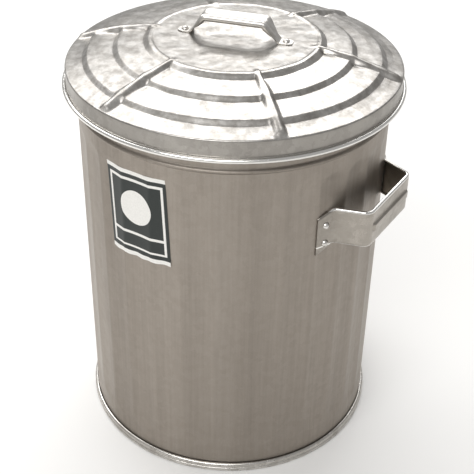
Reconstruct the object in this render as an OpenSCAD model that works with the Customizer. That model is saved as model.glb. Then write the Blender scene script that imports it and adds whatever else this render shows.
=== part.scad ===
// Galvanised steel waste can with a loose lift-off lid, all in millimetres.
// The can stands on its base hoop at z = 0 with its axis on Z. The handles are at +X and -X, the label faces -Y
// and the lock seam of the body is at +Y.

/* [Body] */
// Outside diameter of the body wall, over the ridges between the flutes
body_d = 426; // [380:1:480]
// Height from the floor to the top of the rolled rim
body_h = 560; // [480:1:640]
// Thickness of the body, base and lid sheet
sheet = 1; // [0.8:0.1:1.2]
// Diameter of the steel wire inside the rolled rim
wire_d = 6; // [5:0.5:7]
// Number of pressed flutes round the body
flutes = 30; // [24:2:36]
// Depth of each flute
flute_depth = 1.5; // [0.8:0.1:2]
// Height of the lower end of the flutes
flute_foot = 50; // [40:1:80]
// Distance from the rim down to the upper end of the flutes
flute_head = 68; // [66:1:110]

/* [Base] */
// Thickness of the base hoop
hoop_sheet = 1.5; // [1.2:0.1:1.8]
// How far the hoop stands out past the wall
hoop_proud = 5; // [4:0.5:7]
// Height of the hoop
hoop_h = 14; // [12:1:18]
// Height of the base pan's floor above the ground
pan_h = 22; // [20:1:30]

/* [Side handles] */
// Width of the strap, which is its height on the can
strap_w = 52; // [40:1:60]
// Thickness of the strap
strap_t = 2; // [1.6:0.2:2.6]
// Height of the strap's lower edge
strap_z = 382; // [300:1:430]
// Length of the grip between its corners
grip_len = 120; // [105:1:135]
// Distance from the can's axis to the middle of the grip's sheet
grip_reach = 245; // [238:1:260]
// Distance between the two bends where the strap leaves the wall
foot_span = 150; // [140:1:165]
// Angle from the side plane back to each handle's middle
set_back = 3.5; // [0:0.5:6]
// Diameter of the handle rivets' heads
rivet_head_d = 10; // [8:0.5:12]

/* [Lid] */
// Outside diameter over the lid's rolled rim
lid_d = 463.4; // [460:0.2:470]
// Diameter of the steel wire inside the lid's rolled rim
lid_wire_d = 4.4; // [4:0.2:6]
// Height of the skirt below the lid's shoulder
skirt_h = 26; // [20:1:26]
// Height of the flat centre above the shoulder
crown_h = 33; // [28:1:40]
// Number of radial ribs
ribs = 6; // [4:1:8]
// Angle of the lid on the can, measured from +X to the line of its handle
lid_turn = 20; // [-30:1:30]

/* [Lid handle] */
// Distance between the rivets in the handle's two feet
feet_span = 139; // [130:1:150]
// Length of the straight grip
lid_grip_len = 88; // [80:1:100]
// Width of the grip over its turned-down lips
lid_grip_w = 31; // [28:1:36]
// Height of the handle above the lid's centre
lid_handle_h = 30; // [26:1:36]

/* [Label] */
// Width of the sticker along the wall
label_w = 97; // [60:1:110]
// Height of the sticker
label_h = 129; // [80:1:135]
// Height of the sticker's lower edge
label_z = 356; // [340:1:357]

/* [Hidden] */
$fn = 48;
body_r = body_d / 2;
wire_r = wire_d / 2;
wire_gap = 0.1;                          // clearance round a wire in its curl
curl_r = wire_r + wire_gap + sheet / 2;  // radius of the body curl's middle line
seat_gap = 0.3;                          // the lid's clearance over the body rim
fit_gap = 0.1;                           // clearance between sheets that lie face to face

wall_mid = body_r - sheet / 2;
rim_wire_r = wall_mid + curl_r;
rim_wire_z = body_h - curl_r - sheet / 2;
swage_z = body_h - 49;
swage_h = 12;
swage_proud = 4;
flute_top = body_h - flute_head;
ledge = 3;                               // depth of the plain ring at each end of the flutes
tuck = 0.05;                             // how far the flutes' ridges lie inside the plain wall
seam_w = 12;
seam_t = 2.2;

shoulder_z = body_h + seat_gap + sheet;  // top of the lid's shoulder
centre_z = shoulder_z + crown_h - 1;     // top of the lid's flat centre
lid_curl_r = lid_wire_d / 2 + wire_gap + sheet / 2;
lid_wire_r = lid_d / 2 - lid_curl_r - sheet / 2;
lid_wire_z = shoulder_z - skirt_h;
skirt_mid = lid_wire_r - lid_curl_r;

ear_r = body_r + fit_gap;
ear_angle = asin(foot_span / 2 / (ear_r + strap_t / 2));
ear_sweep = 7;
ear_drop = 9;
ear_extra = 3;
ear_inset = 0.3;
rivet_angle = ear_angle + 3.4;
rivet_z = [strap_z + 4, strap_z + 31];
rivet_shank_d = 5;
handle_names = ["right", "left"];
handle_turn = [set_back, 180 - set_back];

lid_strap_w = 26;
lid_strap_t = 1.6;
well_depth = 9;
well_reach = 20;
well_foot_r = 24;
well_rim_r = 40;
label_t = 0.2;

function unit(v) = v / norm(v);
function left_of(v) = [-v[1], v[0]];
function wrap(a) = a > 180 ? a - 360 : a < -180 ? a + 360 : a;

// The arc of radius r that rounds the corner b between a and c.
function corner(a, b, c, r, steps = 6) =
    let (u = unit(a - b), v = unit(c - b), half = acos(u * v) / 2,
         p = b + u * r / tan(half), q = b + v * r / tan(half), m = b + unit(u + v) * r / sin(half),
         from = atan2(p[1] - m[1], p[0] - m[0]), by = wrap(atan2(q[1] - m[1], q[0] - m[0]) - from))
    [for (i = [0:steps]) m + r * [cos(from + by * i / steps), sin(from + by * i / steps)]];

// A line through points [x, y, corner radius], with its corners rounded.
function bent(points) =
    let (xy = [for (p = points) [p[0], p[1]]], last = len(points) - 1)
    [for (i = [0:last]) each (i == 0 || i == last || points[i][2] == 0)
        ? [xy[i]] : corner(xy[i - 1], xy[i], xy[i + 1], points[i][2])];

function arc(centre, r, from, to, steps) =
    [for (i = [0:steps]) let (a = from + (to - from) * i / steps) centre + r * [cos(a), sin(a)]];

// The line moved sideways by d, keeping its corners mitred.
function moved(line, d) =
    let (last = len(line) - 1)
    [for (i = [0:last])
        let (before = left_of(unit(line[max(i, 1)] - line[max(i, 1) - 1])),
             after = left_of(unit(line[min(i, last - 1) + 1] - line[min(i, last - 1)])))
        line[i] + (before + after) / (1 + before * after) * d];

function turned_round(line) = [for (i = [len(line) - 1:-1:0]) line[i]];
function mirrored(line) = [for (p = turned_round(line)) [p[0], -p[1], p[2]]];

// The outline of a sheet of thickness t that follows a line through its middle.
function sheet_outline(line, t) = concat(moved(line, t / 2), turned_round(moved(line, -t / 2)));

// One turn of the fluted wall: concave flutes that meet in ridges of radius r.
function fluted(r) = [for (i = [0:flutes * 8 - 1]) let (a = i * 45 / flutes)
    (r - flute_depth * abs(sin(a * flutes / 2))) * [cos(a), sin(a)]];

module round_part(outline) {
    rotate_extrude($fn = 96) polygon(outline);
}

// A solid rivet along +X: domed head outside, shank through the sheets, hammered tail inside.
module rivet(grip, head_d) {
    rotate([0, 90, 0])
        rotate_extrude()
            polygon(concat([[0, -grip - 1.6], [3.6, -grip - 1.4], [4, -grip], [rivet_shank_d / 2, -grip]],
                [[rivet_shank_d / 2, 0], [head_d / 2, 0]],
                arc([0, -head_d * 0.15], head_d * 0.523, 22, 90, 8)));
}

module rivet_hole(from, depth) {
    translate([from, 0, 0]) rotate([0, 90, 0]) cylinder(d = rivet_shank_d + 0.1, h = depth);
}

module at_handle_rivets(side) {
    for (i = [0:3]) at_handle_rivet(side, i) children();
}

module at_handle_rivet(side, i) {
    rotate([0, 0, handle_turn[side] + (i < 2 ? -1 : 1) * rivet_angle])
        translate([0, 0, rivet_z[i % 2]])
            children();
}

// Body wall: plain foot, fluted middle, swaged bead and a rim curled out over its wire.
module body_shell() {
    foot_line = bent([[wall_mid, hoop_sheet + 1.1, 0], [wall_mid, flute_foot + 0.5, 0]]);
    swage = [[wall_mid, swage_z - swage_h / 2, 3], [wall_mid + swage_proud, swage_z - swage_h / 5, 3],
             [wall_mid + swage_proud, swage_z + swage_h / 5, 3], [wall_mid, swage_z + swage_h / 2, 3]];
    head_line = concat(bent(concat([[wall_mid, flute_top - 0.5, 0]], swage, [[wall_mid, rim_wire_z - 4, 0]])),
                       arc([rim_wire_r, rim_wire_z], curl_r, 180, -115, 20));
    color("silver") difference() {
        union() {
            round_part(sheet_outline(foot_line, sheet));
            round_part(sheet_outline(head_line, sheet));
            for (z = [flute_foot - 1.5, flute_top - 0.5])
                translate([0, 0, z]) round_part([[body_r - ledge, 0], [body_r, 0], [body_r, 2], [body_r - ledge, 2]]);
            translate([0, 0, flute_foot])
                linear_extrude(flute_top - flute_foot)
                    difference() { polygon(fluted(body_r - tuck)); polygon(fluted(body_r - tuck - sheet)); }
            // The lock seam is folded to the inside of the wall.
            translate([-seam_w / 2, body_r - flute_depth - sheet / 2 - seam_t, flute_foot + 4])
                cube([seam_w, seam_t, flute_top - flute_foot - 8]);
        }
        for (side = [0, 1]) at_handle_rivets(side) rivet_hole(body_r - 5, 10);
    }
}

module rim_wire() {
    color("dimgray") rotate_extrude($fn = 96) translate([rim_wire_r, rim_wire_z]) circle(wire_r);
}

// Base pan: a dished disc with its flange turned down inside the wall.
module base_pan() {
    flange = body_r - sheet - fit_gap - sheet / 2;
    line = bent([[flange, hoop_sheet + 1.1, 0], [flange, pan_h - 3, 4], [flange - 24, pan_h - 2, 4],
                 [flange - 30, pan_h, 4], [20, pan_h + 1, 0], [0, pan_h + 1, 0]]);
    color("darkgray") round_part(sheet_outline(line, sheet));
}

// Base hoop: a rolled channel that grips the wall and the pan's flange from below.
module base_hoop() {
    inner = body_r - 2 * (sheet + fit_gap) - hoop_sheet / 2;
    outer = body_r + hoop_proud - hoop_sheet / 2;
    line = bent([[inner, hoop_h - 3, 0], [inner, hoop_sheet / 2, 1.5], [outer, hoop_sheet / 2, 2.5],
                 [outer, hoop_h - 4, 2.5], [body_r + fit_gap + hoop_sheet / 2, hoop_h, 0]]);
    color("gainsboro") round_part(sheet_outline(line, hoop_sheet));
}

// One ear of a side handle: a curved plate whose free end slants down.
module ear() {
    start = ear_angle - 0.4;
    run = ear_sweep * ear_r * PI / 180;
    intersection() {
        translate([0, 0, strap_z - ear_drop - 2 * ear_extra])
            rotate([0, 0, start])
                rotate_extrude(angle = ear_sweep, $fn = 96)
                    translate([ear_r, 0]) square([strap_t, strap_w + ear_drop + 4 * ear_extra]);
        rotate([0, 0, start])
            rotate([90, 0, 90])
                linear_extrude(ear_r + 20)
                    polygon([[-1, strap_z + ear_inset], [4, strap_z + ear_inset], [run + 1, strap_z - ear_drop - ear_extra],
                             [run + 1, strap_z + strap_w - ear_drop], [4, strap_z + strap_w - ear_inset],
                             [-1, strap_z + strap_w - ear_inset]]);
    }
}

// Side handle: a strap bent into a grip and two legs, with a riveted ear at each end.
module side_handle(side) {
    mid = ear_r + strap_t / 2;
    half = [[mid * cos(ear_angle), -foot_span / 2, 0], [grip_reach, -grip_len / 2, 8]];
    loop = bent(concat(half, mirrored(half)));
    color("lightgray") rotate([0, 0, handle_turn[side]]) difference() {
        union() {
            translate([0, 0, strap_z]) linear_extrude(strap_w) polygon(sheet_outline(loop, strap_t));
            ear();
            mirror([0, 1, 0]) ear();
            // The bead pressed along the grip.
            translate([grip_reach + strap_t / 2 - 1.5, -grip_len / 2 + 14, strap_z + strap_w * 0.42])
                rotate([-90, 0, 0]) cylinder(r = 3, h = grip_len - 28);
        }
        rotate([0, 0, -handle_turn[side]]) at_handle_rivets(side) rivet_hole(ear_r - 2, 8);
    }
}

module handle_rivet(side, i) {
    face = ear_r + strap_t + fit_gap / 2;
    color("white") at_handle_rivet(side, i) translate([face, 0, 0]) rivet(face - body_r + sheet + 2.6, rivet_head_d);
}

// A plain sticker on the front of the wall.
module label() {
    sweep = label_w / (body_r * PI / 180);
    color("darkslategray")
        rotate([0, 0, -90 - sweep / 2])
            rotate_extrude(angle = sweep, $fn = 96)
                translate([body_r + fit_gap, label_z]) square([label_t, label_h]);
}

// The lid's top from its centre to the start of the skirt, as points of its outer face.
lid_top = [[0, centre_z, 0], [body_r * 0.53, centre_z, 4], [body_r * 0.57, centre_z - 5.5, 3],
           [body_r * 0.73, centre_z - 9, 3], [body_r * 0.76, centre_z - 15, 3], [body_r * 0.92, centre_z - 20, 3],
           [body_r * 0.95, centre_z - 26, 3], [skirt_mid + sheet / 2, shoulder_z, 3]];
rib_line = [[lid_top[1][0] - 4, centre_z + 1.5], [lid_top[5][0], lid_top[5][1] + 2], [skirt_mid - 7, shoulder_z + 6]];

// The space under the lid's top: the outer form at inset 0, and the inner form at an inset of one sheet.
module lid_form(inset) {
    top = moved(bent(concat(lid_top, [[skirt_mid + sheet / 2, lid_wire_z, 0]])), -inset);
    difference() {
        union() {
            round_part(concat([[0, lid_wire_z - inset]], [[0, top[0][1]]], [for (i = [1:len(top) - 1]) top[i]],
                              [[top[len(top) - 1][0], lid_wire_z - inset]]));
            for (i = [0:ribs - 1]) rotate([0, 0, i * 360 / ribs]) rib(inset);
        }
        if (inset > 0) well(inset); else translate([0, 0, 0.01]) well(0);
    }
}

// One radial rib: a ridge that bridges the steps between the centre and the shoulder.
module rib(inset) {
    foot = shoulder_z - 2 - inset;
    rotate([90, 0, 0]) {
        translate([0, 0, -7 + inset]) linear_extrude(14 - 2 * inset)
            polygon([[rib_line[0][0], foot], each [for (p = rib_line) p - [0, inset + 2]], [rib_line[2][0] + 7 - inset, foot]]);
        translate([0, 0, -4 + inset]) linear_extrude(8 - 2 * inset)
            polygon([[rib_line[0][0] + inset, foot], each [for (p = rib_line) p - [0, inset]],
                     [rib_line[2][0] + 9 - inset, foot]]);
    }
}

// The finger well pressed into the lid under its handle.
module well(extra) {
    hull() for (side = [-1, 1])
        translate([side * well_reach, 0, centre_z - well_depth - extra])
            cylinder(r1 = well_foot_r + extra, r2 = well_rim_r + extra, h = well_depth + extra + 1, $fn = 32);
}

module lid_shell() {
    skirt = concat([[skirt_mid, lid_wire_z + 4]], arc([lid_wire_r, lid_wire_z], lid_curl_r, 180, 475, 20));
    color("gainsboro") rotate([0, 0, lid_turn]) {
        difference() {
            union() {
                difference() {
                    lid_form(0);
                    lid_form(sheet);
                }
                round_part(sheet_outline(skirt, sheet));
            }
            for (side = [0, 180]) rotate([0, 0, side])
                translate([feet_span / 2, 0, centre_z - 4]) cylinder(d = rivet_shank_d + 0.1, h = 8);
        }
    }
}

module lid_rim_wire() {
    color("dimgray") rotate_extrude($fn = 96) translate([lid_wire_r, lid_wire_z]) circle(lid_wire_d / 2);
}

// Lid handle: a strap bent up from two riveted feet, with a wider grip whose lips turn down.
module lid_handle() {
    foot_z = centre_z + fit_gap + lid_strap_t / 2;
    top_z = centre_z + lid_handle_h - lid_strap_t / 2;
    half = [[feet_span / 2 + 9, foot_z, 0], [feet_span / 2 - 8, foot_z, 3], [lid_grip_len / 2, top_z, 5]];
    line = bent(concat(half, [for (p = turned_round(half)) [-p[0], p[1], p[2]]]));
    lip_x = lid_grip_w / 2 - lid_strap_t / 2;
    channel = bent([[-lip_x, top_z - 8, 0], [-lip_x, top_z, 4], [lip_x, top_z, 4], [lip_x, top_z - 8, 0]]);
    color("lightgray") rotate([0, 0, lid_turn]) difference() {
        union() {
            rotate([90, 0, 0]) translate([0, 0, -lid_strap_w / 2])
                linear_extrude(lid_strap_w) polygon(sheet_outline(line, lid_strap_t));
            rotate([90, 0, 90]) translate([0, 0, 4 - lid_grip_len / 2])
                linear_extrude(lid_grip_len - 8) polygon(sheet_outline(channel, lid_strap_t));
        }
        for (side = [-1, 1]) translate([side * feet_span / 2, 0, foot_z - 3]) cylinder(d = rivet_shank_d + 0.1, h = 6);
    }
}

module lid_handle_rivet(i) {
    face = centre_z + lid_strap_t + 1.5 * fit_gap;
    color("white") rotate([0, 0, lid_turn + i * 180])
        translate([feet_span / 2, 0, face]) rotate([0, -90, 0])
            rivet(face - centre_z + sheet + 0.05, rivet_head_d);
}

body_shell();
rim_wire();
base_pan();
base_hoop();
for (side = [0, 1]) {
    name = str("handle_", handle_names[side]);
    side_handle(side);
    for (i = [0:3]) handle_rivet(side, i);
}
label();
lid_shell();
lid_rim_wire();
lid_handle();
for (i = [0, 1]) lid_handle_rivet(i);
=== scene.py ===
import math

import bmesh
import bpy
from mathutils import Matrix, Vector, noise


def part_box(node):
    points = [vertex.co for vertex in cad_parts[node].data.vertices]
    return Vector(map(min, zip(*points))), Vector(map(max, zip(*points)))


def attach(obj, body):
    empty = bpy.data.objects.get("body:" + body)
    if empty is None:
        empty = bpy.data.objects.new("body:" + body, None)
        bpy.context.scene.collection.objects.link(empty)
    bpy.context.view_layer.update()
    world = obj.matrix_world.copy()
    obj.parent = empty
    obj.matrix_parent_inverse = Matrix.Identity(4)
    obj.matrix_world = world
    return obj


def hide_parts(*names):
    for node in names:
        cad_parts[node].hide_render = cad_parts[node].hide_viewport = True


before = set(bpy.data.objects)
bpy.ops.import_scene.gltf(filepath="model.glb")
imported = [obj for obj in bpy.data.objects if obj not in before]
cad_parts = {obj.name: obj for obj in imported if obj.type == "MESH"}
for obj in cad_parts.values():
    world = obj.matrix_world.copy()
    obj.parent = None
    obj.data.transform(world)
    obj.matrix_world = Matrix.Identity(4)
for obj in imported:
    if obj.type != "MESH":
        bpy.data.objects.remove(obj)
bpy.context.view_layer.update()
mm = 0.001

# -------------------------------------------------------------------------------------------------------
# Body shell. One sheet of hot-dip galvanised steel, 1 mm thick, rolled into a tube and seamed at the back.
# The wall is pressed into thirty shallow scoops, a bead is swaged outwards below the mouth, and the top edge
# is curled outwards over a steel wire.
# -------------------------------------------------------------------------------------------------------


def clear_selection():
    """Leave edit mode with nothing selected."""
    if bpy.context.object and bpy.context.object.mode == "EDIT":
        bpy.ops.object.mode_set(mode="OBJECT")
    bpy.ops.object.select_all(action="DESELECT")


def line(name, points):
    """Start a piece as a line through the points, and leave it in edit mode with the line selected."""
    clear_selection()
    bpy.ops.mesh.primitive_plane_add(size=mm)
    piece = bpy.context.object
    piece.name = piece.data.name = name
    bpy.ops.object.mode_set(mode="EDIT")
    bpy.ops.mesh.select_mode(type="VERT")
    bpy.ops.mesh.select_all(action="SELECT")
    bpy.ops.mesh.merge(type="CENTER")
    bpy.ops.transform.translate(value=points[0])
    for here, there in zip(points, points[1:]):
        bpy.ops.mesh.extrude_vertices_move(TRANSFORM_OT_translate={"value": Vector(there) - Vector(here)})
    bpy.ops.mesh.select_all(action="SELECT")
    return piece


def select(test):
    """Select the vertices whose place passes the test, and the faces between them."""
    mesh = bmesh.from_edit_mesh(bpy.context.edit_object.data)
    bpy.ops.mesh.select_all(action="DESELECT")
    for vertex in mesh.verts:
        vertex.select_set(bool(test(vertex.co)))
    mesh.select_flush_mode()
    bmesh.update_edit_mesh(bpy.context.edit_object.data)


def spin(angle, steps, copies=False):
    """Spin the selection round the can's axis by degrees; a negative angle goes counter-clockwise."""
    bpy.ops.mesh.spin(steps=steps, angle=math.radians(angle), dupli=copies, center=(0, 0, 0), axis=(0, 0, 1))


def weld():
    """Merge the vertices that lie on each other, and leave everything selected."""
    bpy.ops.mesh.select_all(action="SELECT")
    bpy.ops.mesh.remove_doubles(threshold=0.02 * mm)


def close_up():
    """Weld what meets and turn the faces outwards."""
    weld()
    bpy.ops.mesh.normals_make_consistent(inside=False)


def finish_with(piece, kind, **settings):
    """Add a modifier and apply it at once."""
    clear_selection()
    bpy.context.view_layer.objects.active = piece
    piece.select_set(True)
    modifier = piece.modifiers.new(kind.lower(), kind)
    for key, value in settings.items():
        setattr(modifier, key, value)
    bpy.ops.object.modifier_apply(modifier=modifier.name)


def thicken(piece, thickness):
    """Give a sheet its thickness, half of it to each side."""
    finish_with(piece, "SOLIDIFY", thickness=thickness, offset=0, use_even_offset=True)


def smooth(piece, angle=40):
    """Smooth the faces, apart from edges sharper than the angle in degrees."""
    clear_selection()
    bpy.context.view_layer.objects.active = piece
    piece.select_set(True)
    bpy.ops.object.shade_smooth_by_angle(angle=math.radians(angle))


def arc(centre, radius, start, end, steps):
    """Points along an arc, with angles in degrees."""
    angles = [math.radians(start + (end - start) * i / steps) for i in range(steps + 1)]
    return [(centre[0] + radius * math.cos(a), centre[1] + radius * math.sin(a)) for a in angles]


def heights(low, high, step):
    """Even heights from low up to the last before high, about a step apart."""
    count = max(1, round((high - low) / step))
    return [low + (high - low) * i / count for i in range(count)]


body_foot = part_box("body_shell")[0][2]
wire_low, wire_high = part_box("rim_wire")
sheet = 1.0 * mm
wall_r = 212.5 * mm
curl_r = 3.6 * mm
rim_wire_r = wall_r + curl_r
rim_wire_z = (wire_low[2] + wire_high[2]) / 2
flute_count = 30
flute_angle = 360 / flute_count
flute_pitch = 2 * math.pi * wall_r / flute_count
flute_depth = 2.2 * mm
flute_low, flute_high = 66 * mm, 470 * mm
bead_z, bead_half, bead_proud = 512 * mm, 4.6 * mm, 3.6 * mm

# The wall's levels, as stretches of (top, spacing): close where the scoops run out, wide apart between.
body_levels = []
foot = body_foot
for top, spacing in ((36 * mm, 8 * mm), (72 * mm, 2.4 * mm), (455 * mm, 24 * mm), (498 * mm, 3 * mm),
                     (bead_z - bead_half, 3 * mm)):
    body_levels += heights(foot, top, spacing)
    foot = top
bead = [(wall_r + bead_proud * math.cos(math.pi * i / 16) ** 2, bead_z + bead_half * i / 8)
        for i in range(-8, 9)]
neck_levels = heights(bead_z + bead_half + 3 * mm, rim_wire_z - 2 * mm, 8 * mm)
body_outline = ([(wall_r, z) for z in body_levels] + bead + [(wall_r, z) for z in neck_levels]
                + arc((rim_wire_r, rim_wire_z), curl_r, 180, -110, 18))

# One scoop's share of the wall, with the scoop in its middle, is pressed in and then repeated all round.
border = math.radians(flute_angle / 2)
body = line("can_body", [(r * math.sin(border), r * math.cos(border), z) for r, z in body_outline])
spin(-flute_angle, 12)
weld()
select(lambda co: abs(co.x) < 0.2 * mm and flute_low < co.z < flute_high)
pressed = 1 - flute_depth / wall_r
bpy.ops.transform.resize(value=(pressed, pressed, 1), center_override=(0, 0, 0), use_proportional_edit=True,
                         proportional_edit_falloff="INVERSE_SQUARE", proportional_size=flute_pitch / 2)
bpy.ops.mesh.select_all(action="SELECT")
spin(360 - flute_angle, flute_count - 1, copies=True)
close_up()
thicken(body, sheet)
smooth(body)


def linear(colour):
    """A colour's linear values, with full alpha, from its sRGB hex form."""
    parts = [int(colour[i:i + 2], 16) / 255 for i in (1, 3, 5)]
    return tuple(c / 12.92 if c <= 0.04045 else ((c + 0.055) / 1.055) ** 2.4 for c in parts) + (1,)


def add_node(tree, kind, settings={}, links={}):
    """Add a shader node. Settings name its inputs or properties; links name inputs and what feeds them."""
    node = tree.nodes.new("ShaderNode" + kind)
    for key, value in settings.items():
        if isinstance(key, int) or key in node.inputs.keys():
            node.inputs[key].default_value = value
        else:
            setattr(node, key, value)
    for key, source in links.items():
        tree.links.new(source, node.inputs[key])
    return node


def galvanised(name, bright, dull, rough, streak, spangles=0.3, painted_top_light=0.0, polish_and_highlight_bands=()):
    """Hot-dip galvanised steel: a zinc skin whose crystals differ a little in tone, with upright run marks.
    The patch setting is how much paler the upward faces are painted, in patches: painted light from above.
    The band setting lists level bands with a painted highlight, also made smoother,
    each as its middle and half its height."""
    material = bpy.data.materials.new(name)
    material.use_nodes = True
    tree = material.node_tree
    tree.nodes.clear()
    coordinates = add_node(tree, "TexCoord")
    place = coordinates.outputs["Object"]
    # Spangle, the zinc's crystals, about 9 mm across with ragged borders.
    ragged = add_node(tree, "TexNoise", {"Scale": 1 / (6 * mm), "Detail": 2.0}, {"Vector": place})
    shifted = add_node(tree, "MixRGB", {"blend_type": "LINEAR_LIGHT", "Fac": 0.006},
                       {"Color1": place, "Color2": ragged.outputs["Color"]})
    spangle = add_node(tree, "TexVoronoi", {"Scale": 1 / (9 * mm)}, {"Vector": shifted.outputs["Color"]})
    crystal = add_node(tree, "SeparateColor", {}, {"Color": spangle.outputs["Color"]}).outputs[0]
    # Run marks, about 5 mm wide and 150 mm long, over clouds as wide as a hand.
    stretched = add_node(tree, "Mapping", {"Scale": (1, 1, 0.03)}, {"Vector": place}).outputs["Vector"]
    runs = add_node(tree, "TexNoise", {"Scale": 1 / (5 * mm), "Detail": 4.0, "Roughness": 0.6},
                    {"Vector": stretched}).outputs["Fac"]
    cloud = add_node(tree, "TexNoise", {"Scale": 1 / (90 * mm), "Detail": 1.0},
                     {"Vector": stretched}).outputs["Fac"]
    # Grain, about 1 mm, which breaks up the gloss.
    grain = add_node(tree, "TexNoise", {"Scale": 1 / (1.2 * mm), "Detail": 3.0},
                     {"Vector": place}).outputs["Fac"]
    run_share, grain_share = 0.9 * streak, 0.3
    tone = cloud
    for share, source in ((spangles, crystal), (run_share, runs), (grain_share, grain)):
        tone = add_node(tree, "Math", {"operation": "MULTIPLY_ADD", 1: share},
                        {0: source, 2: tone}).outputs[0]
    middle, reach = (1 + spangles + run_share + grain_share) / 2, 0.34
    spread = add_node(tree, "MapRange", {"From Min": middle - reach, "From Max": middle + reach},
                      {"Value": tone}).outputs[0]
    # Bright zinc is also a little smoother than dull zinc.
    colour = add_node(tree, "MixRGB", {"Color1": linear(dull), "Color2": linear(bright)},
                      {"Fac": spread}).outputs[0]
    hazy = add_node(tree, "MapRange", {"To Min": rough + 0.07, "To Max": rough - 0.07},
                    {"Value": spread}).outputs[0]
    # Painted light from above: faces that look up are made paler, in ragged patches some 14 mm across.
    upwards = add_node(tree, "SeparateXYZ", {}, {"Vector": coordinates.outputs["Normal"]}).outputs["Z"]
    top_light_share = add_node(tree, "MapRange", {"From Min": 0.3, "From Max": 0.6, "To Max": painted_top_light},
                       {"Value": upwards}).outputs[0]
    patch_noise = add_node(tree, "TexNoise", {"Scale": 1 / (14 * mm), "Detail": 6.0, "Roughness": 0.7},
                    {"Vector": place}).outputs["Fac"]
    top_light_patch = add_node(tree, "MapRange", {"From Min": 0.4, "From Max": 0.64},
                     {"Value": patch_noise, "To Max": top_light_share}).outputs[0]
    colour = add_node(tree, "MixRGB", {"Color2": linear("#F1EFEC")},
                      {"Fac": top_light_patch, "Color1": colour}).outputs[0]
    # Painted highlight: level bands along rolled or hemmed edges are painted pale, and also made smoother.
    level = add_node(tree, "SeparateXYZ", {}, {"Vector": place}).outputs["Z"]
    for centre, half in polish_and_highlight_bands:
        band = add_node(tree, "Math", {"operation": "COMPARE", 1: centre, 2: half}, {0: level}).outputs[0]
        colour = add_node(tree, "MixRGB", {"Color2": linear("#E9E7E3")},
                          {"Fac": band, "Color1": colour}).outputs[0]
        hazy = add_node(tree, "Math", {"operation": "MULTIPLY_ADD", 1: -0.14}, {0: band, 2: hazy}).outputs[0]
    relief = add_node(tree, "Math", {"operation": "MULTIPLY_ADD", 1: 0.4}, {0: grain, 2: crystal}).outputs[0]
    dents = add_node(tree, "Bump", {"Strength": 0.35, "Distance": 0.12 * mm}, {"Height": relief})
    steel = add_node(tree, "BsdfPrincipled", {"Metallic": 1.0},
                     {"Base Color": colour, "Roughness": hazy, "Normal": dents.outputs[0]})
    add_node(tree, "OutputMaterial", {}, {"Surface": steel.outputs[0]})
    return material


# Galvanised steel that has gone dull and slightly warm: an even grey with soft upright streaks.
body_zinc = galvanised("galvanised_steel_body", "#A79F96", "#8E867D", 0.46, streak=0.5, spangles=0.1)
body.data.materials.append(body_zinc)
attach(body, "can")
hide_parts("body_shell")

# -------------------------------------------------------------------------------------------------------
# Lock seam. The two edges of the wall's galvanised sheet are hooked together and hammered flat on the inside,
# at the back of the can. It runs from above the base pan to below the bead.
# -------------------------------------------------------------------------------------------------------
seam_low, seam_high = 54 * mm, 488 * mm
seam_half, seam_r, fold_r = 6 * mm, 209.3 * mm, 0.65 * mm
fold = arc((seam_half - fold_r, seam_r - fold_r), fold_r, 90, -90, 6)
seam_outline = [(-seam_half, seam_r)] + fold + [(1 * mm - seam_half, seam_r - 2 * fold_r)]
seam = line("lock_seam", [(x, y, seam_low) for x, y in seam_outline])
bpy.ops.mesh.extrude_edges_move(TRANSFORM_OT_translate={"value": (0, 0, seam_high - seam_low)})
close_up()
thicken(seam, 0.9 * mm)
smooth(seam)
seam.data.materials.append(body_zinc)
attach(seam, "can")

# -------------------------------------------------------------------------------------------------------
# Base hoop. A strip of 1.5 mm steel rolled into a channel, which clasps the foot of the wall and the base
# pan's flange. It carries the can's weight on its rounded lower edge.
# -------------------------------------------------------------------------------------------------------
hoop_low, hoop_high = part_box("base_hoop")
hoop_sheet = 1.5 * mm
hoop_floor, hoop_top = hoop_low[2] + hoop_sheet / 2, hoop_high[2] - hoop_sheet / 2
hoop_in, hoop_lip_top, hoop_lip_foot = 210.05 * mm, 11 * mm, 6 * mm
hoop_corner_r, hoop_edge_r = 2 * mm, 2.9 * mm
hoop_edge = hoop_high[0] - hoop_sheet / 2 - hoop_edge_r
hoop_outline = ([(hoop_in, hoop_lip_top), (hoop_in, hoop_lip_foot)]
                + arc((hoop_in + hoop_corner_r, hoop_floor + hoop_corner_r), hoop_corner_r, 180, 270, 5)
                + arc((hoop_edge, hoop_floor + hoop_edge_r), hoop_edge_r, -90, 55, 10)
                + arc((hoop_edge, hoop_top - hoop_edge_r), hoop_edge_r, -55, 90, 10))
hoop = line("base_band", [(r, 0, z) for r, z in hoop_outline])
spin(360, 240)
close_up()
thicken(hoop, hoop_sheet)
smooth(hoop)

# Galvanised steel that the floor has scuffed, so it is paler and glossier than the wall.
base_zinc = galvanised("galvanised_steel_base", "#DEDBD6", "#A7A29B", 0.28, streak=0.3)
hoop.data.materials.append(base_zinc)
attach(hoop, "can")
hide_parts("base_hoop")

# -------------------------------------------------------------------------------------------------------
# Base pan and rim wire. The pan is a pressed disc whose flange stands inside the foot of the wall. The wire
# is drawn steel, closed up inside the body's rolled rim. Both keep the shape they were designed with.
# -------------------------------------------------------------------------------------------------------
# Drawn steel wire under a thin dip of zinc, darker than the sheet round it.
drawn_wire = galvanised("drawn_steel_wire", "#8E8C89", "#6A6866", 0.4, streak=0.1)


def coat(node_name, material):
    """Give a designed node its finish."""
    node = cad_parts[node_name]
    node.data.materials.clear()
    node.data.materials.append(material)


coat("base_pan", base_zinc)
coat("rim_wire", drawn_wire)

# -------------------------------------------------------------------------------------------------------
# Side handles. Each is one strap of 2 mm galvanised steel with hemmed edges and a bead pressed along the
# grip. It is bent out from two ears that lie on the wall, each held by two rivets. One is made and copied.
# -------------------------------------------------------------------------------------------------------


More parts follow.
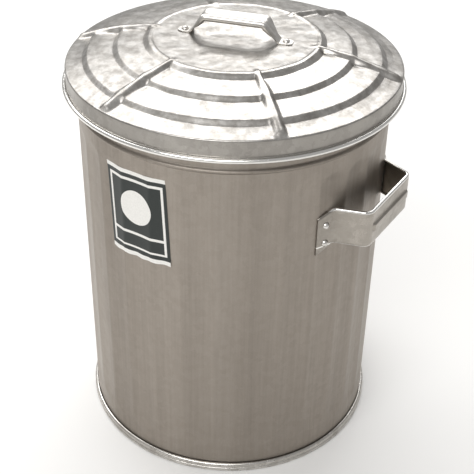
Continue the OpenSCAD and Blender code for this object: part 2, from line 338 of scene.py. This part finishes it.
def rounded(points):
    """The line through points (x, y, corner radius), with an arc in each corner."""
    result = []
    for i, (x, y, radius) in enumerate(points):
        here = Vector((x, y))
        if i in (0, len(points) - 1) or radius == 0:
            result.append(tuple(here))
            continue
        back = (Vector(points[i - 1][:2]) - here).normalized()
        ahead = (Vector(points[i + 1][:2]) - here).normalized()
        half = back.angle(ahead) / 2
        centre = here + (back + ahead).normalized() * radius / math.sin(half)
        first = here + back * radius / math.tan(half) - centre
        turn = first.angle_signed(here + ahead * radius / math.tan(half) - centre)
        steps = max(3, round(abs(math.degrees(turn)) / 12))
        for step in range(steps + 1):
            result.append(tuple(centre + Matrix.Rotation(-turn * step / steps, 2) @ first))
    return result


def bearing(x, y):
    """The direction of (x, y) from the can's axis, in radians from +X."""
    return math.atan2(y, x)


def strap(name, section, route):
    """Draw a sheet's cross-section, given as (outward offset, height), along a level route."""
    def square_to(a, b):
        """The bearing that faces outwards from a stretch of the route."""
        return bearing(b[0] - a[0], b[1] - a[1]) - math.pi / 2

    first = square_to(route[0], route[1])
    piece = line(name, [(route[0][0] + out * math.cos(first), route[0][1] + out * math.sin(first), z)
                        for out, z in section])
    facing = first
    for i in range(1, len(route)):
        turned = square_to(route[i - 1], route[i])
        if i < len(route) - 1:
            after = square_to(route[i], route[i + 1])
            turned += math.remainder(after - turned, 2 * math.pi) / 2
        step = Vector((route[i][0] - route[i - 1][0], route[i][1] - route[i - 1][1], 0))
        bpy.ops.mesh.extrude_edges_move(TRANSFORM_OT_translate={"value": step})
        turn = math.remainder(turned - facing, 2 * math.pi)
        if abs(turn) > 1e-6:
            bpy.ops.transform.rotate(value=-turn, orient_axis="Z", center_override=(*route[i], 0))
        facing = turned
    return piece


strap_sheet = 2 * mm
strap_w = 52 * mm
# The top of the strap as designed, to the nearest micrometre.
grip_top = round(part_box("handle_right")[1][2], 6)
strap_z = grip_top - strap_w
strap_middle = strap_z + strap_w / 2
ear_r = 214.1 * mm
bend_half, grip_half, grip_reach = 75 * mm, 60 * mm, 245 * mm
grip_bend_r, ear_bend_r = 13 * mm, 9 * mm
bend_bearing = math.asin(bend_half / ear_r)
ear_start = ear_r * math.cos(bend_bearing)
ear_sweep = math.radians(7)
ear_drop, ear_growth = 10 * mm, 0.075
set_back = math.radians(3.5)

# Seen from above, the route follows the grip, bends back at two corners and follows the wall along each ear.
ear_bearings = [bend_bearing + ear_sweep * i / 6 for i in range(2, 7)]
ear_route = [(ear_r * math.cos(at), ear_r * math.sin(at)) for at in ear_bearings]
bends = [(grip_reach, 0, 0), (grip_reach, grip_half, grip_bend_r), (ear_start, bend_half, ear_bend_r)]
half_route = rounded(bends + [(*ear_route[0], 0)])[1:] + ear_route[1:]
grip_line = [(grip_reach, grip_half * i / 5) for i in range(-4, 5)]
grip_route = [(x, -y) for x, y in reversed(half_route)] + grip_line + half_route

# The strap's cross-section: a hem turned in at the lower edge, a flat, the bead, and the same upside down.
hem = 1.7 * mm
bead_half_w, bead_rise, bead_end = 6 * mm, 2.8 * mm, 11 * mm
half_section = [(-hem * (1 - math.cos(a)), strap_z + hem * (1 - math.sin(a)))
                for a in map(math.radians, (150, 110, 70, 40, 0))]
half_section += [(0, strap_z + strap_w * k) for k in (0.1, 0.2, 0.3, 0.355)]
half_section += [(0, strap_middle - bead_half_w * k) for k in (1, 0.7, 0.4)]
strap_section = (half_section + [(0, strap_middle)]
                 + [(out, 2 * strap_middle - z) for out, z in reversed(half_section)])
handle = strap("side_handle_right", strap_section, grip_route)
close_up()
# The bead is pressed out along the grip.
select(lambda co: co.x > grip_reach - 0.2 * mm and abs(co.y) < grip_half - bead_end
       and abs(co.z - strap_middle) < 0.75 * bead_half_w)
bpy.ops.transform.translate(value=(bead_rise, 0, 0))
# The ears are cut on a slant, lower and taller at their free ends.
for side in (-1, 1):
    for share in (0.17, 0.33, 0.5, 0.67, 0.83, 1.0):
        at = side * (bend_bearing + ear_sweep * share)
        select(lambda co: abs(bearing(co.x, co.y) - at) < ear_sweep * 0.08 and co.x < ear_start + 1.2 * mm)
        bpy.ops.transform.resize(value=(1, 1, 1 + ear_growth * share), center_override=(0, 0, strap_middle))
        bpy.ops.transform.translate(value=(0, 0, -ear_drop * share))
thicken(handle, strap_sheet)
finish_with(handle, "BEVEL", width=0.5 * mm, segments=2, limit_method="ANGLE", angle_limit=math.radians(50))
smooth(handle)

handle_left = handle.copy()
handle_left.data = handle.data.copy()
handle_left.name = handle_left.data.name = "side_handle_left"
bpy.context.scene.collection.objects.link(handle_left)
# Galvanised steel that hands have kept smooth, with a painted highlight line along each hemmed edge.
handle_zinc = galvanised("galvanised_steel_handle", "#B0AAA2", "#88827A", 0.32, streak=0.2, spangles=0.2,
                         polish_and_highlight_bands=[(strap_z, 1 * mm), (strap_z + strap_w, 2 * mm)])
for piece, side, turn in ((handle, "right", set_back), (handle_left, "left", math.pi - set_back)):
    piece.data.transform(Matrix.Rotation(turn, 4, "Z"))
    piece.data.materials.append(handle_zinc)
    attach(piece, "can")
    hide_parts("handle_" + side)

# -------------------------------------------------------------------------------------------------------
# Rivets. Solid zinc-coated steel rivets with domed heads outside and hammered tails inside, four to a side
# handle and two to the lid's. They keep the shape they were designed with.
# -------------------------------------------------------------------------------------------------------
# Zinc-coated steel, smooth and pale on the domes.
rivet_zinc = galvanised("zinc_coated_rivet", "#F1EFEC", "#B9B4AD", 0.28, streak=0.1)
for node_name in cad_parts:
    if "_rivet_" in node_name:
        coat(node_name, rivet_zinc)

# -------------------------------------------------------------------------------------------------------
# Lid. One sheet pressed into a flat centre with a finger well, three steps down to a shoulder, and a skirt
# that drops outside the can's rim and is curled over a wire. Six radial ribs bridge the steps and stiffen it.
# -------------------------------------------------------------------------------------------------------
# The top of the lid as designed, to the nearest micrometre.
lid_top = round(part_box("lid_shell")[1][2], 6)
lid_wire_low, lid_wire_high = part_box("lid_rim_wire")
lid_turn = math.radians(20)
lid_wire_half = (lid_wire_high[2] - lid_wire_low[2]) / 2
lid_wire_r = lid_wire_high[0] - lid_wire_half
lid_wire_z = lid_wire_low[2] + lid_wire_half
half_sheet = sheet / 2
lid_curl_r = lid_wire_half + 0.1 * mm + half_sheet
skirt_r = lid_wire_r - lid_curl_r
# The lid as designed is highest where its ribs start, this far above the flat centre.
rib_start_rise = 1.5 * mm
centre_z = lid_top - rib_start_rise - half_sheet
rib_count = 6
rib_angle = 360 / rib_count
# From the centre outwards: (radius, height, corner radius) of the sheet's middle line.
lid_corners = [(0, centre_z, 0), (108.5 * mm, centre_z, 5 * mm), (111 * mm, centre_z + 0.9 * mm, 4 * mm),
               (114.5 * mm, centre_z + 0.5 * mm, 4 * mm), (121.5 * mm, 587.2 * mm, 4 * mm),
               (139 * mm, 585.9 * mm, 40 * mm), (155.5 * mm, 583.6 * mm, 4 * mm),
               (162 * mm, 577.8 * mm, 4 * mm), (180 * mm, 575.9 * mm, 40 * mm),
               (196 * mm, 572.7 * mm, 4 * mm), (202.5 * mm, 566.9 * mm, 4 * mm),
               (213 * mm, 563.8 * mm, 40 * mm), (skirt_r, 560.8 * mm, 1.8 * mm), (skirt_r, lid_wire_z, 0)]


def divided(points, longest):
    """The same line with no stretch longer than the length given."""
    result = [points[0]]
    for here, there in zip(points, points[1:]):
        count = max(1, math.ceil(math.dist(here, there) / longest))
        result += [tuple(Vector(here).lerp(Vector(there), i / count)) for i in range(1, count + 1)]
    return result


lid_outline = divided(rounded(lid_corners), 3.6 * mm)
lid_outline = lid_outline[:-1] + arc((lid_wire_r, lid_wire_z), lid_curl_r, 180, 490, 20)
# One rib's share of the lid, as (degrees, steps), is finest round the rib in its middle.
start = lid_turn - math.pi / rib_count
lid = line("lid", [(r * math.cos(start), r * math.sin(start), z) for r, z in lid_outline])
for angle, steps in ((21, 11), (18, 30), (21, 11)):
    spin(-angle, steps)
weld()

# The crest of a rib runs straight over the steps' corners; its flanks fall to the sheet on both sides, and
# spread as it goes outwards.
crest = [(104 * mm, centre_z), (112 * mm, centre_z + 2.4 * mm), (158 * mm, 587.6 * mm),
         (198 * mm, 575.8 * mm), (skirt_r - 5 * mm, 567 * mm), (skirt_r - 2.5 * mm, 562 * mm)]
rib_crest_half, rib_narrow, rib_wide = 1.5 * mm, 5 * mm, 10 * mm
spread_start, spread_length = 112 * mm, 45 * mm


def crest_height(r):
    """The crest's height at a radius, or 0 where there is no rib."""
    for (r0, z0), (r1, z1) in zip(crest, crest[1:]):
        if r0 <= r <= r1:
            return z0 + (z1 - z0) * (r - r0) / (r1 - r0)
    return 0


def ease(x):
    """A smooth step from 0 to 1."""
    x = min(1, max(0, x))
    return x * x * (3 - 2 * x)


def move_each(place):
    """Move every vertex of the piece in edit mode to a new place worked out from its own."""
    mesh = bmesh.from_edit_mesh(bpy.context.edit_object.data)
    for vertex in mesh.verts:
        vertex.co = place(vertex.co)
    bmesh.update_edit_mesh(bpy.context.edit_object.data)


def with_rib(co):
    """Lift the sheet under the rib to the rib's height."""
    r = math.hypot(co.x, co.y)
    aside = abs(r * math.sin(bearing(co.x, co.y) - lid_turn))
    half = rib_narrow + (rib_wide - rib_narrow) * ease((r - spread_start) / spread_length)
    top = crest_height(r)
    if top <= co.z or aside >= half:
        return co
    share = ease((half - aside) / (half - rib_crest_half))
    return Vector((co.x, co.y, co.z + (top - co.z) * share))


move_each(with_rib)
bpy.ops.mesh.select_all(action="SELECT")
spin(360 - rib_angle, rib_count - 1, copies=True)
close_up()

well_half, well_r, well_slope, well_depth = 20 * mm, 44 * mm, 26 * mm, 7 * mm


def with_well(co):
    """Press the finger well, an oval dish under the handle, into the flat centre."""
    if co.z < centre_z - 2 * mm:
        return co
    along = co.x * math.cos(lid_turn) + co.y * math.sin(lid_turn)
    aside = -co.x * math.sin(lid_turn) + co.y * math.cos(lid_turn)
    out = math.hypot(max(0, abs(along) - well_half), aside)
    return Vector((co.x, co.y, co.z - well_depth * ease((well_r - out) / well_slope)))


move_each(with_well)

dent_depth, broad_dent, small_dent = 0.55 * mm, 26 * mm, 9 * mm


def dented(co):
    """Shallow dents from use, which fade out towards the shoulder and down the skirt."""
    from_shoulder = skirt_r - 4 * mm - math.hypot(co.x, co.y)
    inwards = ease(from_shoulder / (12 * mm)) * ease((co.z - lid_wire_z) / (20 * mm))
    dent = noise.noise(co / broad_dent) + 0.5 * noise.noise(co / small_dent)
    return Vector((co.x, co.y, co.z + dent_depth * dent * inwards))


move_each(dented)
thicken(lid, sheet)
smooth(lid)
# Galvanised steel with little streaking, painted paler in patches on top as light from above, and with a
# painted highlight band round its rolled rim, which is also smoother.
lid_rim_half = lid_curl_r + half_sheet + 0.2 * mm
lid_zinc = galvanised("galvanised_steel_lid", "#ACA8A2", "#8A8681", 0.33, streak=0.1, spangles=0.2,
                      painted_top_light=0.36, polish_and_highlight_bands=[(lid_wire_z, lid_rim_half)])
lid.data.materials.append(lid_zinc)
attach(lid, "lid")
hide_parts("lid_shell")
coat("lid_rim_wire", drawn_wire)

# -------------------------------------------------------------------------------------------------------
# Lid handle. A strap of 1.6 mm galvanised steel, bent up from two riveted feet. Along the grip both its edges
# are rolled under, which leaves a shallow trough between them.
# -------------------------------------------------------------------------------------------------------
feet_half, foot_tab, foot_half = 69.5 * mm, 9 * mm, 9 * mm
lid_grip_half = 43 * mm
lid_strap_sheet = 1.6 * mm
strap_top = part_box("lid_handle")[1][2] - lid_strap_sheet / 2
foot_z = centre_z + (sheet + lid_strap_sheet) / 2
side_view = divided(rounded([(feet_half + foot_tab, foot_z, 0), (feet_half - foot_tab, foot_z, 5 * mm),
                             (lid_grip_half, strap_top, 9 * mm), (0, strap_top, 0)]), 4 * mm)
side_view += [(-x, z) for x, z in reversed(side_view[:-1])]

# Across the grip: a rolled edge, a ridge, the trough, a ridge and a rolled edge, as (across, drop).
roll_r, ridge_half, trough = 4 * mm, 10.7 * mm, 2.6 * mm
edge_roll = [(ridge_half + x, roll_r - z) for x, z in arc((0, 0), roll_r, -75, 90, 11)]
hollow = [(ridge_half * k / 6, trough * (1 + math.cos(math.pi * k / 6)) / 2) for k in range(5, -6, -1)]
across = edge_roll + hollow + [(-y, drop) for y, drop in reversed(edge_roll)]


def rolled(co):
    """The place on the finished strap of a vertex drawn at (side view x, line across, side view z).
    The feet are flat with rounded ends, and the strap takes its rolled shape on the way up."""
    i = min(range(len(side_view)), key=lambda k: math.dist(side_view[k], (co.x, co.z)))
    before, after = side_view[max(0, i - 1)], side_view[min(len(side_view) - 1, i + 1)]
    run = Vector((after[0] - before[0], after[1] - before[1])).normalized()
    up = ease((co.z - foot_z) / (strap_top - foot_z) * 1.1)
    column = round(co.y / mm)
    share = 1 - 2 * column / (len(across) - 1)
    past_rivet = max(0, abs(co.x) - feet_half) / foot_tab
    flat_y = share * foot_half * math.sqrt(1 - 0.7 * past_rivet ** 2)
    rolled_y, rolled_drop = across[column]
    drop = rolled_drop * up
    return Vector((co.x - run.y * drop, rolled_y * up + flat_y * (1 - up), co.z + run.x * drop))


lid_strap = line("lid_handle_strap", [(x, 0, z) for x, z in side_view])
for _ in across[1:]:
    bpy.ops.mesh.extrude_edges_move(TRANSFORM_OT_translate={"value": (0, mm, 0)})
move_each(rolled)
close_up()
bpy.ops.transform.rotate(value=-lid_turn, orient_axis="Z", center_override=(0, 0, 0))
thicken(lid_strap, lid_strap_sheet)
smooth(lid_strap, 50)
# Galvanised steel in the palest zinc colours, painted paler in patches on top as light from above.
lid_handle_zinc = galvanised("galvanised_steel_lid_handle", "#E4E1DC", "#B8B4AE", 0.34, streak=0.1,
                             spangles=0.2, painted_top_light=0.4)
lid_strap.data.materials.append(lid_handle_zinc)
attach(lid_strap, "lid")
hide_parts("lid_handle")

# -------------------------------------------------------------------------------------------------------
# Label. A printed vinyl sticker, pressed onto the front of the wall by hand, so it is a little askew. It
# follows the scoops under it and rucks along its lower edge.
# -------------------------------------------------------------------------------------------------------
label_low, label_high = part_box("label")
label_h = label_high[2] - label_low[2]
label_half = math.asin(label_high[0] / (wall_r + sheet / 2))
label_r = wall_r + sheet / 2 + 0.4 * mm
label_w = 2 * label_half * label_r
label_tilt, label_sheet = math.radians(2.5), 0.2 * mm
ruck_depth, ruck_wave, ruck_rise = 0.5 * mm, 3.5 * mm, 14 * mm
label_levels = heights(label_low[2], label_high[2], 4 * mm) + [label_high[2]]
label = line("label_sticker", [(-label_r * math.sin(label_half), -label_r * math.cos(label_half), z)
                               for z in label_levels])
spin(-math.degrees(2 * label_half), 40)
bpy.ops.object.mode_set(mode="OBJECT")
flat_print = label.data.uv_layers.new(name="flat_print")
for corner in label.data.loops:
    co = label.data.vertices[corner.vertex_index].co
    flat_print.data[corner.index].uv = (label_r * (bearing(co.x, co.y) + math.pi / 2), co.z - label_low[2])
bpy.ops.object.mode_set(mode="EDIT")


def stuck_on(co):
    """Tilt the sticker, press it into the scoops and let its lower edge ruck."""
    along = label_r * (bearing(co.x, co.y) + math.pi / 2)
    up = co.z - (label_low[2] + label_high[2]) / 2
    turned = along * math.cos(label_tilt) - up * math.sin(label_tilt)
    z = co.z + along * math.sin(label_tilt)
    angle = turned / label_r
    from_scoop = math.hypot(math.remainder(turned, flute_pitch), max(0, z - flute_high)) / (flute_pitch / 2)
    near_edge = ease((label_low[2] + ruck_rise - co.z) / ruck_rise)
    ruck = ruck_depth * (1 + math.sin(along / ruck_wave)) * near_edge
    r = label_r - flute_depth * max(0, 1 - from_scoop * from_scoop) + ruck
    return Vector((r * math.sin(angle), -r * math.cos(angle), z - 0.6 * ruck))


move_each(stuck_on)
close_up()
finish_with(label, "SOLIDIFY", thickness=label_sheet, offset=0)
smooth(label)


def printed_vinyl(name, paper, ink):
    """White vinyl printed with a frame, a panel with a plain disc in it and a blank bar."""
    material = bpy.data.materials.new(name)
    material.use_nodes = True
    tree = material.node_tree
    tree.nodes.clear()
    place = add_node(tree, "UVMap", {"uv_map": "flat_print"}).outputs["UV"]
    axes = add_node(tree, "SeparateXYZ", {}, {"Vector": place})
    centre_up, half_w, half_h = label_h / 2, label_w / 2, label_h / 2
    panel_up, panel_half_h, bar_up, bar_half_h = 75 * mm, 38 * mm, 24 * mm, 9 * mm
    disc_r = 25 * mm
    # Layers from the paper up, as (middle's height, half its width, half its height, colour): the dark ground
    # from side to side, a pale rectangle, and the dark panel and bar on it.
    layers = ((centre_up, label_w, half_h - 6 * mm, ink),
              (centre_up, half_w - 4.5 * mm, half_h - 12 * mm, paper),
              (panel_up, half_w - 8 * mm, panel_half_h, ink),
              (bar_up, half_w - 8 * mm, bar_half_h, ink))
    below = None
    for up, half_across, half_up, shade in layers:
        level = add_node(tree, "Math", {"operation": "COMPARE", 1: up, 2: half_up}, {0: axes.outputs["Y"]})
        upright = add_node(tree, "Math", {"operation": "COMPARE", 1: 0.0, 2: half_across},
                           {0: axes.outputs["X"]})
        inside = add_node(tree, "Math", {"operation": "MINIMUM"},
                          {0: level.outputs[0], 1: upright.outputs[0]})
        layer = add_node(tree, "MixRGB", {"Color1": linear(paper), "Color2": linear(shade)},
                         {"Fac": inside.outputs[0]})
        if below:
            tree.links.new(below, layer.inputs["Color1"])
        below = layer.outputs[0]
    from_disc = add_node(tree, "VectorMath", {"operation": "DISTANCE", 1: (0, panel_up, 0)}, {0: place})
    disc = add_node(tree, "Math", {"operation": "LESS_THAN", 1: disc_r}, {0: from_disc.outputs["Value"]})
    colour = add_node(tree, "MixRGB", {"Color2": linear(paper)}, {"Fac": disc.outputs[0], "Color1": below})
    # Ink and paper are a little worn, in specks about 2 mm across.
    specks = add_node(tree, "TexNoise", {"Scale": 1 / (2 * mm), "Detail": 4.0},
                      {"Vector": add_node(tree, "TexCoord").outputs["Object"]})
    worn = add_node(tree, "MapRange", {"From Min": 0.3, "From Max": 0.7, "To Min": 0.9, "To Max": 1.0},
                    {"Value": specks.outputs["Fac"]})
    faded = add_node(tree, "VectorMath", {"operation": "SCALE"},
                     {0: colour.outputs[0], "Scale": worn.outputs[0]})
    vinyl = add_node(tree, "BsdfPrincipled", {"Roughness": 0.45}, {"Base Color": faded.outputs[0]})
    add_node(tree, "OutputMaterial", {}, {"Surface": vinyl.outputs[0]})
    return material


# Printed vinyl: an off-white sheet with near-black ink, both with the same soft sheen.
label.data.materials.append(printed_vinyl("printed_vinyl", "#EFEDE8", "#1F2623"))
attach(label, "can")
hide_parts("label")

# -------------------------------------------------------------------------------------------------------
# Floor, lights and camera. A plain floor painted matt white, one broad soft light high behind the can and a
# smaller one high in front of it, and the camera above and to the right of the label.
# -------------------------------------------------------------------------------------------------------
clear_selection()
bpy.ops.mesh.primitive_plane_add(size=12)
floor = bpy.context.object
floor.name = "floor"
# Matt white paint, which shows soft shadows and no reflections.
paint = bpy.data.materials.new("matt_white_paint")
paint.use_nodes = True
paint_inputs = paint.node_tree.nodes["Principled BSDF"].inputs
paint_inputs["Base Color"].default_value = linear("#F2F1EF")
paint_inputs["Roughness"].default_value = 0.9
floor.data.materials.append(paint)

bpy.context.scene.view_settings.view_transform = "Standard"
world = bpy.data.worlds.new("studio")
bpy.context.scene.world = world
world.use_nodes = True
sky_inputs = world.node_tree.nodes["Background"].inputs
sky_inputs["Color"].default_value = linear("#FFFFFF")
sky_inputs["Strength"].default_value = 0.42


def soft_light(name, place, target, width, height, power):
    """A rectangular light that faces its target, with its size in metres and its power in watts."""
    data = bpy.data.lights.new(name, "AREA")
    data.shape = "RECTANGLE"
    data.size, data.size_y = width, height
    data.energy = power
    lamp = bpy.data.objects.new(name, data)
    aim = (Vector(place) - Vector(target)).to_track_quat("Z", "Y")
    lamp.matrix_world = Matrix.Translation(place) @ aim.to_matrix().to_4x4()
    bpy.context.scene.collection.objects.link(lamp)


soft_light("back", place=(-1.6, 1.25, 2.95), target=(0, 0, 0.55), width=5.0, height=2.4, power=122)
soft_light("front", place=(0.55, -2.3, 2.8), target=(0, 0, 0.4), width=2.4, height=1.6, power=58)

camera_data = bpy.data.cameras.new("camera")
camera_data.sensor_width = 36
camera_data.lens = 78.5
camera = bpy.data.objects.new("camera", camera_data)
# Its place, in metres from the can's axis and above the floor, and its angles, in degrees.
camera_distance, camera_height = 1.276, 1.151
camera_bearing, camera_heading, camera_tilt, camera_roll = map(math.radians, (-54.6, 35.04, 55.39, 1.22))
camera_place = (camera_distance * math.cos(camera_bearing), camera_distance * math.sin(camera_bearing),
                camera_height)
camera.matrix_world = (Matrix.Translation(camera_place) @ Matrix.Rotation(camera_heading, 4, "Z")
                       @ Matrix.Rotation(camera_tilt, 4, "X") @ Matrix.Rotation(camera_roll, 4, "Z"))
bpy.context.scene.collection.objects.link(camera)
bpy.context.scene.camera = camera

bpy.context.view_layer.update()
